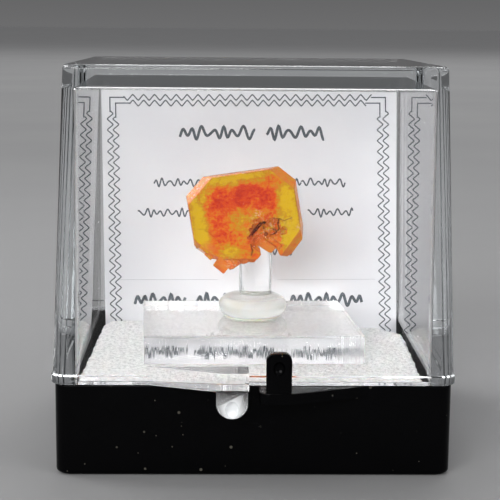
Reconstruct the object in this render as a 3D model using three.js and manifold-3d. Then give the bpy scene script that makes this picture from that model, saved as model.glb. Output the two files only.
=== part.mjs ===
// A tabular wulfenite crystal on a clear rod stand, in a small hinged display box with a clear lid.
// Millimetres, +Z up, the front of the box faces -Y, origin at the middle of the base's underside.
import * as THREE from 'three';
import Module from 'manifold-3d';
import { mergeVertices } from 'three/addons/utils/BufferGeometryUtils.js';
import { ConvexGeometry } from 'three/addons/geometries/ConvexGeometry.js';

// ---- Driving dimensions, in millimetres and degrees ----

// Box: half sizes are measured from the middle, half.x across and half.y deep.
const PARTING = 8.82; // height of the joint between base and lid
const SEAM = 0.08; // gap between the closed lid and the base
const BASE = {
  bottom: { x: 18.79, y: 17.29 },
  top: { x: 18.81, y: 17.31 },
  wall: 1.6,
  floor: 1.3,
  corner: 1.3,
  innerCorner: 0.5,
  edge: 0.5, // rounding along the bottom edge
};
const LID = {
  bottom: { x: 19.0, y: 17.5 },
  top: { x: 17.89, y: 16.39 },
  innerBottom: { x: 16.95, y: 15.45 },
  innerTop: { x: 16.85, y: 15.35 },
  height: 29.88,
  roof: 2.1,
  corner: 1.4,
  innerCorner: 0.5,
  edge: 0.45, // rounding along the top edge
  lip: 0.15, // how far the rim stands proud
  rim: 0.93, // height of the rim
};

// Thumb tabs: each hangs on a wedge-shaped ledge on the front wall, and has a scoop in its front.
const REACH = 20.4; // how far the ledges reach to the front
const TAB_THICK = 1.15;
const LID_TAB = {
  left: -3.55,
  right: -0.6,
  drop: 2.42, // how far its tip hangs below the parting
  overlap: 0.9, // how far it runs up into its ledge
  rounding: 1.4,
  scoop: { x: 0.64, y: 0.5, z: 0.8, fromTip: 0.88 },
  ledge: { left: -10.1, right: -0.5, height: 1.9, root: 0.4, slant: 0.6, nose: 0.35 },
};
const BASE_TAB = {
  left: 1.06,
  right: 3.43,
  rise: 3.72, // how far its tip stands above the parting
  overlap: 0.5,
  rounding: 0.72,
  setBack: 0.1,
  scoop: { x: 0.56, y: 0.45, z: 0.68, fromTip: 1.4 },
  ledge: { left: 0.47, right: 10.8, height: 1.1, root: 0.6, nose: 0.9 },
};
const WEDGE_END = 0.02; // how far a ledge still stands out where its wedge runs out

// Hinge: pins of the base's ears turn in the lid's lugs. A web carries each round barrel: it starts
// inside the wall, rises along it, and meets the barrel at a point beside and below the axis.
const HINGE = {
  y: 19.15,
  barrel: 1.25,
  pin: 0.6,
  pinRoot: 0.3, // how far the pin runs into its ear
  bore: 0.78,
  lug: { from: 8.6, to: 11.0, root: 0.6 },
  ear: { from: 11.2, to: 12.7, root: 0.5 },
  web: { rise: 3.6, beside: 0.6, below: 1.09 },
  pinTip: 9.9,
  boreEnd: 9.6,
};

const FOAM = { left: -16.85, right: 16.8, front: -15.4, back: 10.75, top: 8.78 };
// How far each corner of the hand-cut foam stays inside its outline.
const FOAM_CUTS = [
  { side: 'left', from: 'front', inset: 0, depth: 0 },
  { side: 'right', from: 'front', inset: 0.5, depth: 0 },
  { side: 'right', from: 'back', inset: 0, depth: 6.2 },
  { side: 'right', from: 'back', inset: 0.5, depth: 3 },
  { side: 'right', from: 'back', inset: 2, depth: 0 },
  { side: 'left', from: 'back', inset: 1.3, depth: 0 },
  { side: 'left', from: 'back', inset: 0.55, depth: 1.6 },
];
// The foam's sides from below: how far down from the top, how much smaller, and how ragged.
const FOAM_LAYERS = [
  { down: FOAM.top - BASE.floor, inset: 0.25, ragged: 0 },
  { down: 1.2, inset: 0, ragged: 0 },
  { down: 0.35, inset: 0, ragged: 0.12 },
  { down: 0, inset: 0.2, ragged: 0.3 },
];
// The card is cut a little askew and leans back: its corners are given across and up along it, from
// the lower left one round, and it turns about the line where its face meets the foam's top.
const CARD = {
  corners: [[-16, 1.6], [16.86, 1.6], [16.62, 35.25], [-16.74, 35.15]],
  face: 10.85,
  thick: 0.3,
  lean: 7,
};
// The plate is sawn by hand, so its sides run askew: its corners from the front left one round.
const PLATE = {
  thick: 2.87,
  corners: [[-10.75, -8.66], [11.23, -8.4], [10.3, 4.07], [9.81, 8.39], [-11.71, 7.89]],
};
const GLUE = { foot: 3.15, shoulder: 3.0, top: 2.9, shoulderHeight: 0.1, height: 0.18 };
const FOOT = { radius: 3.65, height: 2.22, x: 0.23, y: 1.05 };
// The foot's round side: shares of its radius and its height.
const FOOT_PROFILE = [
  [0, 0], [0.8, 0], [0.89, 0.08], [0.965, 0.23], [1, 0.44], [0.98, 0.6], [0.89, 0.79], [0.72, 0.93],
  [0.5, 1], [0, 1],
];
const ROD = { radius: 1.7, x: 0.49, y: 1.05, top: 20.3 };

// Crystal: a plate of nine rim faces between two flat faces, upright, seen from the front.
// Its measures below are drawn a little large, and the finished solid is scaled to size.
const CRYSTAL = { x: -0.67, z: 22.63, back: -0.72, thick: 2.3, girdle: 0.3, scale: 0.988 };
// Each rim face: direction of its normal from +X towards +Z, distance from the middle, and how far
// the flat front and back faces stay inside it.
const RIM = [
  { name: 'right', turn: 10, reach: 5.76, front: 0.28, back: 0.45 },
  { name: 'lower right', turn: 358, reach: 6.04, front: 0.3, back: 0.4 },
  { name: 'top right', turn: 52.3, reach: 6.18, front: 0.66, back: 0.4 },
  { name: 'top', turn: 98.4, reach: 4.71, front: 0.04, back: 0.55 },
  { name: 'top left', turn: 139.5, reach: 6.0, front: 0.62, back: 0.3 },
  { name: 'left', turn: 189.5, reach: 5.74, front: 0.1, back: 0.5 },
  { name: 'bottom left', turn: 234, reach: 5.58, front: 0.55, back: 0.4 },
  { name: 'bottom', turn: 271, reach: 4.45, front: 0.12, back: 0.4 },
  { name: 'bottom right', turn: 324.5, reach: 6.18, front: 0.85, back: 0.4 },
];

// What is grown on the crystal and broken out of it, by place (across, in depth and up from the
// crystal's middle), size and turn about X, Y and Z.
const FACE = -CRYSTAL.thick / 2; // the flat front face
const EDGE_BLOCKS = [
  { place: [-2.35, -0.5, -4.95], size: [1.45, 1.4, 1.1], turn: [8, 38, -6] },
  { place: [-1.45, -0.35, -4.85], size: [1.15, 1.3, 1.0], turn: [-20, -40, 14] },
  { place: [-1.1, -0.5, -4.85], size: [0.85, 1.0, 0.75], turn: [24, 52, -18] },
  { place: [-4.3, -0.25, -3.3], size: [1.25, 1.5, 0.8], turn: [-12, 35, 10] },
  { place: [-3.55, 0.1, -3.95], size: [0.9, 1.4, 0.7], turn: [10, 42, -8] },
];
const EDGE_LUMPS = [
  { place: [0.75, -0.1, -4.0], size: [1.7, 1.8, 1.75], turn: 15 },
  { place: [-0.15, 0, -4.3], size: [1.5, 1.7, 1.5], turn: 50 },
];
const HOLLOW_LUMPS = [
  { place: [1.7, FACE - 0.05, -1.35], size: [2.3, 1.5, 1.9], turn: 35 },
  { place: [2.75, FACE, -1.05], size: [1.9, 1.3, 1.9], turn: -20 },
  { place: [2.7, FACE - 0.1, -2.1], size: [2.2, 1.4, 1.3], turn: 10 },
];
const CREVICES = [
  { place: [1.0, FACE + 0.1, -1.45], size: [2.1, 1.9, 0.34], turn: [18, -46, 0] },
  { place: [0.95, FACE, -2.45], size: [0.5, 1.6, 1.1], turn: [0, 18, 20] },
  { place: [2.25, FACE, -2.95], size: [2.5, 1.4, 1.9], turn: [0, 35, 0] },
];
// Angular chips broken out all over the hollow, deeper towards its middle.
const CHIPS = {
  count: 46,
  middle: { x: 2.25, z: -1.35 },
  spread: { x: 1.85, z: 1.35 },
  width: [0.3, 0.65],
  height: [0.25, 0.5],
  depth: [0.9, 1.95],
  shallower: { middle: 1.25, edge: 0.65 },
  tilt: 24,
};
// The crystal with a pale side face that stands in the lower end of the hollow.
const HOLLOW_CRYSTAL = { place: [2.2, -0.15, -2.75], size: [1.9, 1.45, 0.95], turn: [20, 35, 10] };
// The broken lower right edge from the front: a slot, the underside of the crystal in the hollow,
// the foot of the lobe beside it, and two points below everything.
const BROKEN_EDGE = [
  [1.0, -2.8],
  [1.5, -3.1],
  [2.35, -3.65],
  [2.75, -3.75],
  [3.2, -3.3],
  [3.35, -3.4],
  [3.6, -3.9],
  [4.4, -4.15],
  [4.9, -3.9],
  [6.5, -7],
  [1.3, -7],
  [1.0, -4.7],
  [1.65, -3.85],
  [1.55, -3.4],
];

const wasm = await Module();
wasm.setup();

// ---- Shape helpers ----

const radians = THREE.MathUtils.degToRad;

function toSolid(geometry) {
  const bare = geometry.clone();
  bare.deleteAttribute('normal');
  bare.deleteAttribute('uv');
  const merged = mergeVertices(bare, 1e-5);
  const vertProperties = new Float32Array(merged.attributes.position.array);
  const triVerts = new Uint32Array(merged.index.array);
  return new wasm.Manifold(new wasm.Mesh({ numProp: 3, vertProperties, triVerts }));
}

function toGeometry(solid) {
  const mesh = solid.getMesh();
  const geometry = new THREE.BufferGeometry();
  geometry.setAttribute('position', new THREE.BufferAttribute(mesh.vertProperties, 3));
  geometry.setIndex(new THREE.BufferAttribute(mesh.triVerts, 1));
  geometry.computeVertexNormals();
  return geometry;
}

const union = (...solids) => solids.reduce((joined, next) => joined.add(next));

// A small repeatable random number source, from 0 to 1.
function randomSource(seed) {
  let state = seed;
  return () => {
    state = (state * 1664525 + 1013904223) % 4294967296;
    return state / 4294967296;
  };
}

// Joins rings of equal length, lowest first, into one closed body.
function loft(rings) {
  const count = rings[0].length;
  const positions = rings.flat().flatMap((point) => [point.x, point.y, point.z]);
  const index = [];
  for (let level = 0; level < rings.length - 1; level += 1) {
    for (let i = 0; i < count; i += 1) {
      const a = level * count + i;
      const b = level * count + ((i + 1) % count);
      index.push(a, b, b + count, a, b + count, a + count);
    }
  }
  const last = (rings.length - 1) * count;
  const flat = (ring) => ring.map((point) => new THREE.Vector2(point.x, point.y));
  for (const [a, b, c] of THREE.ShapeUtils.triangulateShape(flat(rings[0]), [])) index.push(c, b, a);
  for (const [a, b, c] of THREE.ShapeUtils.triangulateShape(flat(rings.at(-1)), [])) {
    index.push(last + a, last + b, last + c);
  }
  const geometry = new THREE.BufferGeometry();
  geometry.setAttribute('position', new THREE.Float32BufferAttribute(positions, 3));
  geometry.setIndex(index);
  return geometry;
}

// A rectangle with round corners, as a ring of points at height z.
function roundedRing(half, corner, z, steps = 5) {
  const ring = [];
  const quarters = [[1, 1], [-1, 1], [-1, -1], [1, -1]];
  quarters.forEach(([signX, signY], quarter) => {
    for (let i = 0; i <= steps; i += 1) {
      const angle = (quarter + i / steps) * Math.PI / 2;
      const x = signX * (half.x - corner) + corner * Math.cos(angle);
      const y = signY * (half.y - corner) + corner * Math.sin(angle);
      ring.push(new THREE.Vector3(x, y, z));
    }
  });
  return ring;
}

const shrink = (half, by) => ({ x: half.x - by, y: half.y - by });

// The rings of a rounding from a side wall into a level face, as insets and rises from 0 to 1.
const ROUNDING = [0, 1, 2, 3].map((i) => {
  const angle = (i / 3) * Math.PI / 2;
  return { inset: 1 - Math.cos(angle), rise: Math.sin(angle) };
});

// A flat outline in X and Y, pushed up from one height to another.
function prism(points, from, to) {
  const shape = new THREE.Shape(points.map(([x, y]) => new THREE.Vector2(x, y)));
  const geometry = new THREE.ExtrudeGeometry(shape, { depth: to - from, bevelEnabled: false });
  return toSolid(geometry.translate(0, 0, from));
}

// A shape drawn in X (across) and Z (up), pushed from front to back.
function upright(shape, front, back, curveSegments = 8) {
  const options = { depth: back - front, bevelEnabled: false, curveSegments };
  const geometry = new THREE.ExtrudeGeometry(shape, options);
  return toSolid(geometry.rotateX(Math.PI / 2).translate(0, back, 0));
}

// A round bar along X, turned about the hinge axis.
function hingeBar(radius, from, to, sides = 20) {
  const bar = new THREE.CylinderGeometry(radius, radius, to - from, sides);
  return toSolid(bar.rotateZ(Math.PI / 2).translate((from + to) / 2, HINGE.y, PARTING));
}

// A plate across X with its outline in Y and Z.
function hingeWeb(points, from, to) {
  const shape = new THREE.Shape(points.map(([y, z]) => new THREE.Vector2(y, z)));
  const geometry = new THREE.ExtrudeGeometry(shape, { depth: to - from, bevelEnabled: false });
  const turn = new THREE.Matrix4().makeBasis(
    new THREE.Vector3(0, 1, 0),
    new THREE.Vector3(0, 0, 1),
    new THREE.Vector3(1, 0, 0),
  );
  return toSolid(geometry.applyMatrix4(turn).translate(from, 0, 0));
}

const mirrored = (solid) => solid.mirror([1, 0, 0]);

// ---- Base ----

function baseTray() {
  const rounded = ROUNDING.toReversed().map(({ inset, rise }) => (
    roundedRing(shrink(BASE.bottom, BASE.edge * inset), BASE.corner, BASE.edge * (1 - rise))
  ));
  const outside = toSolid(loft([...rounded, roundedRing(BASE.top, BASE.corner, PARTING)]));
  const inside = toSolid(loft([
    roundedRing(shrink(BASE.bottom, BASE.wall), BASE.innerCorner, BASE.floor),
    roundedRing(shrink(BASE.top, BASE.wall), BASE.innerCorner, PARTING),
    roundedRing(shrink(BASE.top, BASE.wall), BASE.innerCorner, PARTING + 1),
  ]));
  const body = outside.subtract(inside);
  const ear = hingeEar();
  return toGeometry(union(body, baseLedge(), baseTab(), ear, mirrored(ear)));
}

function baseLedge() {
  const wall = -BASE.top.y;
  const { left, right, height, root, nose } = BASE_TAB.ledge;
  const outline = [[right, wall + root], [left, wall + root]];
  const steps = 5;
  for (let i = 0; i <= steps; i += 1) {
    const angle = (i / steps) * Math.PI / 2;
    outline.push([left + nose * (1 - Math.cos(angle)), -REACH + nose * (1 - Math.sin(angle))]);
  }
  outline.push([BASE_TAB.right, -REACH], [right, wall - WEDGE_END]);
  return prism(outline, PARTING - height, PARTING);
}

// A tab with round corners at its tip and a scoop in its front. Its foot is inside its ledge.
function thumbTab({ left, right, rounding, scoop }, foot, tip, front) {
  const up = Math.sign(tip - foot);
  const turn = up * Math.PI / 2;
  const shape = new THREE.Shape();
  shape.moveTo(left, foot);
  shape.lineTo(right, foot);
  shape.absarc(right - rounding, tip - up * rounding, rounding, 0, turn, up < 0);
  shape.absarc(left + rounding, tip - up * rounding, rounding, turn, 2 * turn, up < 0);
  shape.closePath();
  const ball = new THREE.SphereGeometry(1, 12, 8).scale(scoop.x, scoop.y, scoop.z);
  ball.translate((left + right) / 2, -REACH, tip - up * scoop.fromTip);
  return upright(shape, front, front + TAB_THICK).subtract(toSolid(ball));
}

function baseTab() {
  const foot = PARTING - BASE_TAB.overlap;
  return thumbTab(BASE_TAB, foot, PARTING + BASE_TAB.rise, -REACH + BASE_TAB.setBack);
}

function hingeEar() {
  const { from, to, root } = HINGE.ear;
  const wall = BASE.top.y - root;
  const web = hingeWeb([
    [wall, PARTING - HINGE.web.rise],
    [HINGE.y + HINGE.web.beside, PARTING - HINGE.web.below],
    [HINGE.y, PARTING],
    [wall, PARTING],
  ], from, to);
  const pin = hingeBar(HINGE.pin, HINGE.pinTip, from + HINGE.pinRoot, 16);
  return union(web, hingeBar(HINGE.barrel, from, to), pin);
}

// ---- Lid ----

function lid() {
  const bottom = PARTING + SEAM;
  const top = PARTING + LID.height;
  const ceiling = top - LID.roof;
  const proud = shrink(LID.bottom, -LID.lip);
  const rim = bottom + LID.rim;
  const crown = ROUNDING.map(({ inset, rise }) => (
    roundedRing(shrink(LID.top, LID.edge * inset), LID.corner, top - LID.edge * (1 - rise))
  ));
  const outside = toSolid(loft([
    roundedRing(proud, LID.corner + LID.lip, bottom),
    roundedRing(proud, LID.corner + LID.lip, rim - LID.lip),
    roundedRing(LID.bottom, LID.corner, rim),
    ...crown,
  ]));
  const inside = toSolid(loft([
    roundedRing(LID.innerBottom, LID.innerCorner, bottom - 1),
    roundedRing(LID.innerBottom, LID.innerCorner, bottom),
    roundedRing(LID.innerTop, LID.innerCorner, ceiling),
  ]));
  const shell = outside.subtract(inside);
  const lug = hingeLug();
  return toGeometry(union(shell, lidLedge(), lidTab(), lug, mirrored(lug)));
}

function lidLedge() {
  const wall = -LID.bottom.y;
  const { left, right, height, root, slant, nose } = LID_TAB.ledge;
  const outline = [
    [left, wall + root],
    [left, wall - WEDGE_END],
    [LID_TAB.left + slant, -REACH],
    [right - nose, -REACH],
    [right, -REACH + nose],
    [right, wall + root],
  ];
  return prism(outline, PARTING + SEAM, PARTING + height);
}

function lidTab() {
  return thumbTab(LID_TAB, PARTING + LID_TAB.overlap, PARTING - LID_TAB.drop, -REACH);
}

function hingeLug() {
  const { from, to, root } = HINGE.lug;
  const wall = LID.bottom.y - root;
  const web = hingeWeb([
    [wall, PARTING + SEAM],
    [HINGE.y, PARTING + SEAM],
    [HINGE.y + HINGE.web.beside, PARTING + HINGE.web.below],
    [wall, PARTING + HINGE.web.rise],
  ], from, to);
  const bore = hingeBar(HINGE.bore, HINGE.boreEnd, to + 0.5, 16);
  return union(web, hingeBar(HINGE.barrel, from, to)).subtract(bore);
}

// ---- Foam, card and stand ----

function foamInsert() {
  const random = randomSource(11);
  const perSide = 9;
  const corners = FOAM_CUTS.map(({ side, from, inset, depth }) => [
    FOAM[side] + (side === 'left' ? inset : -inset),
    FOAM[from] + (from === 'front' ? depth : -depth),
  ]);
  const outline = corners.flatMap(([x, y], i) => {
    const [nextX, nextY] = corners[(i + 1) % corners.length];
    return Array.from({ length: perSide }, (_, step) => {
      const share = step / perSide;
      return [x + (nextX - x) * share, y + (nextY - y) * share];
    });
  });
  const half = (FOAM.right - FOAM.left) / 2;
  const slope = Math.tan(radians(CARD.lean)) / FOAM.back;
  return loft(FOAM_LAYERS.map(({ down, inset, ragged }) => outline.map(([x, y]) => {
    const pull = 1 - (inset + ragged * random()) / half;
    const lean = down * slope * Math.max(0, y); // the back stays in front of the leaning card
    return new THREE.Vector3(x * pull, y * pull - lean, FOAM.top - down);
  })));
}

function labelCard() {
  const shape = new THREE.Shape(CARD.corners.map(([x, up]) => new THREE.Vector2(x, up)));
  const card = toGeometry(upright(shape, 0, CARD.thick));
  return card.translate(0, 0, -FOAM.top).rotateX(-radians(CARD.lean)).translate(0, CARD.face, FOAM.top);
}

function standPlate() {
  const shape = new THREE.Shape(PLATE.corners.map(([x, y]) => new THREE.Vector2(x, y)));
  return new THREE.ExtrudeGeometry(shape, { depth: PLATE.thick, bevelEnabled: false });
}

const latheUpright = (points, sides) => {
  const profile = points.map(([r, z]) => new THREE.Vector2(r, z));
  return new THREE.LatheGeometry(profile, sides).rotateX(Math.PI / 2);
};

function standGlue() {
  const { foot, shoulder, top, shoulderHeight, height } = GLUE;
  return latheUpright([[0, 0], [foot, 0], [shoulder, shoulderHeight], [top, height], [0, height]], 24);
}

function standFoot() {
  return latheUpright(FOOT_PROFILE.map(([r, z]) => [r * FOOT.radius, z * FOOT.height]), 32);
}

function standRod(foot) {
  const length = ROD.top - foot;
  const bar = new THREE.CylinderGeometry(ROD.radius, ROD.radius, length, 28).rotateX(Math.PI / 2);
  return bar.translate(ROD.x, ROD.y, foot + length / 2);
}

// ---- Crystal ----

// The convex form that lies inside every given face.
function crystalForm(faces) {
  const corners = [];
  const tooNear = (a) => corners.some((b) => a.distanceTo(b) < 1e-4);
  for (let i = 0; i < faces.length; i += 1) {
    for (let j = i + 1; j < faces.length; j += 1) {
      for (let k = j + 1; k < faces.length; k += 1) {
        const [a, b, c] = [faces[i], faces[j], faces[k]];
        const matrix = new THREE.Matrix3().set(
          a.normal.x, a.normal.y, a.normal.z,
          b.normal.x, b.normal.y, b.normal.z,
          c.normal.x, c.normal.y, c.normal.z,
        );
        if (Math.abs(matrix.determinant()) < 1e-6) continue;
        const point = new THREE.Vector3(a.reach, b.reach, c.reach).applyMatrix3(matrix.invert());
        const inside = faces.every(({ normal, reach }) => normal.dot(point) < reach + 1e-5);
        if (inside && !tooNear(point)) corners.push(point);
      }
    }
  }
  return toSolid(new ConvexGeometry(corners));
}

// The two faces that slope from the girdle to the flat front and back faces.
function rimFaces({ turn, reach, front, back }) {
  const out = new THREE.Vector3(Math.cos(radians(turn)), 0, Math.sin(radians(turn)));
  const depth = (CRYSTAL.thick - CRYSTAL.girdle) / 2;
  return [[-1, front], [1, back]].map(([side, inset]) => {
    const slope = Math.atan2(inset, depth);
    const normal = out.clone().multiplyScalar(Math.cos(slope));
    normal.y = side * Math.sin(slope);
    const girdlePoint = out.clone().multiplyScalar(reach).setY(side * CRYSTAL.girdle / 2);
    return { normal, reach: normal.dot(girdlePoint) };
  });
}

const flatFaces = [-1, 1].map((side) => ({
  normal: new THREE.Vector3(0, side, 0),
  reach: CRYSTAL.thick / 2,
}));

// A block with turned sides.
function block({ place, size, turn: [turnX, turnY, turnZ] }) {
  const box = new THREE.BoxGeometry(...size);
  box.rotateX(radians(turnX)).rotateY(radians(turnY)).rotateZ(radians(turnZ));
  return toSolid(box.translate(...place));
}

// A rounded lump of broken crystal, turned about Y.
function lump({ place, size, turn }) {
  const ball = new THREE.IcosahedronGeometry(0.5, 1).scale(...size);
  return toSolid(ball.rotateY(radians(turn)).translate(...place));
}

function chips() {
  const { count, middle, spread, width, height, depth, shallower, tilt } = CHIPS;
  const random = randomSource(29);
  const between = (low, high) => low + (high - low) * random();
  return Array.from({ length: count }, () => {
    const away = Math.sqrt(random());
    const direction = between(0, 2 * Math.PI);
    const x = middle.x + spread.x * away * Math.cos(direction);
    const z = middle.z + spread.z * away * Math.sin(direction);
    const deep = between(...depth) * THREE.MathUtils.lerp(shallower.middle, shallower.edge, away);
    const size = [between(...width), deep, between(...height)];
    const turn = [between(-tilt, tilt), between(0, 180), between(-tilt, tilt)];
    return block({ place: [x, FACE, z], size, turn });
  });
}

function brokenEdge() {
  const shape = new THREE.Shape(BROKEN_EDGE.map(([x, z]) => new THREE.Vector2(x, z)));
  return upright(shape, -CRYSTAL.thick, CRYSTAL.thick);
}

function crystal() {
  const plate = crystalForm([...RIM.flatMap(rimFaces), ...flatFaces]);
  const grown = union(plate, ...EDGE_BLOCKS.map(block), ...EDGE_LUMPS.map(lump));
  const hollows = [...HOLLOW_LUMPS.map(lump), ...CREVICES.map(block), ...chips()];
  const broken = hollows.reduce((left, hollow) => left.subtract(hollow), grown);
  const slab = new THREE.BoxGeometry(20, CRYSTAL.thick, 20);
  const whole = broken.add(block(HOLLOW_CRYSTAL)).subtract(brokenEdge());
  return toGeometry(whole.intersect(toSolid(slab)).scale(CRYSTAL.scale));
}

// ---- Materials ----

const finish = (color, roughness, options = {}) => (
  new THREE.MeshStandardMaterial({ color, roughness, metalness: 0, ...options })
);
const clear = (color, opacity) => finish(color, 0.05, { transparent: true, opacity });

const BLACK_PLASTIC = finish(0x0c0c0d, 0.25);
const CLEAR_PLASTIC = clear(0xf2f6f8, 0.3);
const WHITE_FOAM = finish(0xf1f2f1, 0.95);
const WHITE_CARD = finish(0xeceef1, 0.7);
const CLEAR_ACRYLIC = clear(0xf0f4f4, 0.35);
const CREAM_GLUE = finish(0xe9e3cc, 0.5);
const ORANGE_CRYSTAL = clear(0xe8650a, 0.85);

// ---- The object ----

const object = new THREE.Group();

function add(name, geometry, material, parent = object) {
  const mesh = new THREE.Mesh(geometry, material);
  mesh.name = name;
  parent.add(mesh);
  return mesh;
}

add('base_tray', baseTray(), BLACK_PLASTIC);
add('lid', lid(), CLEAR_PLASTIC);
add('foam_insert', foamInsert(), WHITE_FOAM);
add('label_card', labelCard(), WHITE_CARD);

add('stand_plate', standPlate(), CLEAR_ACRYLIC).position.z = FOAM.top;

const plateTop = FOAM.top + PLATE.thick;
add('stand_glue', standGlue(), CREAM_GLUE).position.set(FOOT.x, FOOT.y, plateTop);
add('stand_foot', standFoot(), CLEAR_ACRYLIC).position.set(FOOT.x, FOOT.y, plateTop + GLUE.height);
add('stand_rod', standRod(plateTop + GLUE.height + FOOT.height), CLEAR_ACRYLIC);

const wulfenite = add('wulfenite_crystal', crystal(), ORANGE_CRYSTAL);
wulfenite.position.set(CRYSTAL.x, CRYSTAL.back - CRYSTAL.scale * CRYSTAL.thick / 2, CRYSTAL.z);

export default object;
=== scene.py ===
"""A wulfenite crystal on a clear stand, in a small hinged display box with a clear lid.

Shapes are made in millimetres, with the front of the box facing -Y, and turned into metres last.
"""
import math

import bmesh
import bpy
import numpy as np
from mathutils import Matrix, Vector, noise


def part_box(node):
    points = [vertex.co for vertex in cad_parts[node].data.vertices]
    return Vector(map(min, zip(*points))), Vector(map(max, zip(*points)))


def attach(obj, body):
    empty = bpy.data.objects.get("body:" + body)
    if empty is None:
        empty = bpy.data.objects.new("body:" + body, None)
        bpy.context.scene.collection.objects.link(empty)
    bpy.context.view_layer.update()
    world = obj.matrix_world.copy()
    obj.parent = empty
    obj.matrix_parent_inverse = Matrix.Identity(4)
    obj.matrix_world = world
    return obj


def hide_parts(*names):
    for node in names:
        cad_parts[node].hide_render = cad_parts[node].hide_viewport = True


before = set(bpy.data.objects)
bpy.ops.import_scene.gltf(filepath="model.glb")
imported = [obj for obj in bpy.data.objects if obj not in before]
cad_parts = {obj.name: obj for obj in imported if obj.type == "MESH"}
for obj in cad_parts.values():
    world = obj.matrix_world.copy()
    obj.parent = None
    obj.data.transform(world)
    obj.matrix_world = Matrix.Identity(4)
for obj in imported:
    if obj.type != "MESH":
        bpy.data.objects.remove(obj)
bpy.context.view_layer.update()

MM = 0.001  # one millimetre in metres
noise.seed_set(3)  # without a fixed seed, noise_vector() gives other values in each run


def box(node):
    """The lowest and highest corner of a solid, in millimetres."""
    low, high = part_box(node)
    return Vector(low) / MM, Vector(high) / MM


# ---- Sizes, in millimetres and degrees ----

_, LID_HIGH = box("lid")
FOAM_LOW, FOAM_HIGH = box("foam_insert")
PLATE_LOW, PLATE_HIGH = box("stand_plate")
GLUE_LOW, GLUE_HIGH = box("stand_glue")
FOOT_LOW, FOOT_HIGH = box("stand_foot")
ROD_LOW, ROD_HIGH = box("stand_rod")

DEEPER = 1.5  # every ring of the box is this much less in half depth than in half width
PARTING = 8.82  # height of the joint between base and lid
SEAM = 0.08  # gap between the closed lid and the base
LID_BOTTOM = PARTING + SEAM
LID_TOP = LID_HIGH.z
RIM = LID_BOTTOM + 0.93  # top of the lid's rim
CEILING = LID_TOP - 2.1
BASE_FLOOR = 1.3
FRONT_WALL = {"base": -17.31, "lid": -17.5}
REACH = 20.4  # how far the thumb tabs' ledges reach to the front
TAB_THICK = 1.15
HINGE = {
    "y": 19.15,
    "barrel": 1.25,  # radii
    "pin": 0.6,
    "bore": 0.78,
    "ear": (11.2, 12.7),  # from the box's middle to the sides of the base's ears and the lid's lugs
    "lug": (8.6, 11.0),
    "pin_end": 9.9,
    "bore_end": 9.6,
    "web": 3.6,  # height of the webs that carry the barrels
    "meet": (0.6, 1.09),  # where a web meets its barrel, from the hinge's axis
}
# The thumb tabs: their sides, their tips and, from the tip, the middle of the thumb scoop.
BASE_TAB = {"left": 1.06, "right": 3.43, "tip": PARTING + 3.72, "rounding": 0.72, "scoop": -1.4}
LID_TAB = {"left": -3.55, "right": -0.6, "tip": PARTING - 2.42, "rounding": 1.4, "scoop": 0.88}
TAB_HAZE, SCOOP_PAINTED_HIGHLIGHT = 0.3, 0.95  # how hazy the lid's thumb tab is, and how milky white its scoop is made as a painted highlight, up to 1
SCOOP_HIGHLIGHT_REACH = 0.936
CORNER_STEPS = 14
FILLET_STEPS = 5

# Profiles of the box, as half width, height, corner radius and fillet, from the outside inwards.
LID_PROFILE = [
    (12.0, LID_TOP, 1.4, 0),
    (17.89, LID_TOP, 1.4, 0.45),
    (19.0, RIM, 1.4, 0.1),
    (19.15, RIM - 0.15, 1.5, 0.08),
    (19.15, LID_BOTTOM, 1.5, 0.1),
    (16.95, LID_BOTTOM, 0.5, 0.08),
    (16.85, CEILING, 0.5, 0.3),
    (12.0, CEILING, 0.5, 0),
]
BASE_PROFILE = [
    (12.0, 0.0, 1.3, 0),
    (18.79, 0.0, 1.3, 0.5),
    (18.81, PARTING, 1.3, 0.16),
    (17.21, PARTING, 0.5, 0.12),
    (17.19, BASE_FLOOR, 0.5, 0.3),
    (12.0, BASE_FLOOR, 0.5, 0),
]

# The card: its corners across and up along it, its face where it meets the foam's top, and its lean.
CARD = {
    "corners": [(-16.0, 1.6), (16.86, 1.6), (16.62, 35.25), (-16.74, 35.15)],
    "face": 10.85,
    "thick": 0.3,
    "lean": 7.0,
}
# The foam's cut sides: share of the depth from the front, and how much is cut off left and right.
FOAM_CUTS = [
    (0.0, 0.0, 0.5),
    (0.58, 0.4, 0.12),
    (0.763, 0.5, 0.0),
    (0.885, 0.53, 0.5),
    (0.94, 0.55, 1.15),
    (1.0, 1.3, 2.0),
]
FOAM_COLUMNS, FOAM_ROWS, FOAM_LEVELS = 300, 240, 6
FOAM_EDGE = 0.1  # the ragged outline and the top's rim lie this far inside the foam's box
PLATE_CORNERS = [(-10.75, -8.66), (11.23, -8.4), (10.3, 4.07), (9.81, 8.39), (-11.71, 7.89)]

# The melted foot's outline, from its underside up, as shares of its radius and height.
FOOT_OUTLINE = [
    (0.4, 0.0), (0.8, 0.005), (0.89, 0.08), (0.965, 0.23), (1.0, 0.44),
    (0.98, 0.6), (0.89, 0.79), (0.72, 0.93), (0.5, 0.99), (0.3, 1.0),
]

CRYSTAL_MIDDLE = Vector((-0.67, -1.856, 22.63))
CRYSTAL_SCALE = 0.988  # the crystal's places below are drawn a little large
CRYSTAL_VOXEL = 0.06


# ---- Shape helpers ----

def middle_of(low, high):
    """The middle of a box across and back."""
    return (low.x + high.x) / 2, (low.y + high.y) / 2


def linked(name, data):
    """An object in the scene for a mesh, a light or a camera."""
    thing = bpy.data.objects.new(name, data)
    bpy.context.scene.collection.objects.link(thing)
    return thing


def made(name, vertices, faces):
    """An object from points in millimetres and faces."""
    mesh = bpy.data.meshes.new(name)
    mesh.from_pydata([tuple(point) for point in vertices], [], faces)
    mesh.update()
    return linked(name, mesh)


def from_bmesh(name, shape):
    mesh = bpy.data.meshes.new(name)
    bmesh.ops.recalc_face_normals(shape, faces=shape.faces)
    shape.to_mesh(mesh)
    shape.free()
    return linked(name, mesh)


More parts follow.
